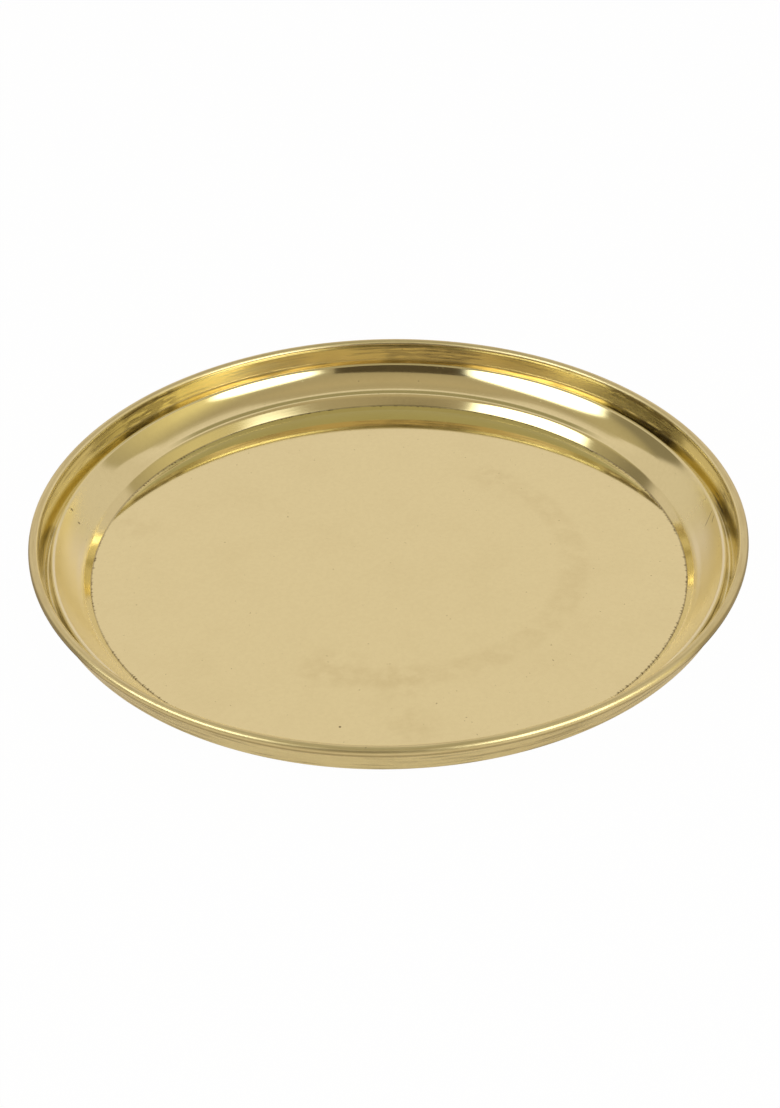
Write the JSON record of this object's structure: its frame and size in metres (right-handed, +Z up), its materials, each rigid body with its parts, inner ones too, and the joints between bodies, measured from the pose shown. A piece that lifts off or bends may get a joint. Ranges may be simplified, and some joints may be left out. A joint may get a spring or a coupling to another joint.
{
  "type": "thali plate",
  "caption": "Round polished brass thali plate with a flat floor, a stepped coved border with a ridge and channel, and a rim curled over a wire, for serving a meal in small bowls.",
  "frame": {"origin": "on the plate's axis, in the plane of the underside that it rests on", "axes": "+Z up along the plate's axis; the plate is round, so X and Y are any two directions across it"},
  "size_m": [0.235, 0.235, 0.0208],
  "materials": {
    "sheet_brass": "polished, with fine turning marks",
    "wire_brass": "drawn wire"
  },
  "bodies": {
    "root": {"dish": "sheet_brass", "rim_wire": "wire_brass"}
  },
  "joints": []
}
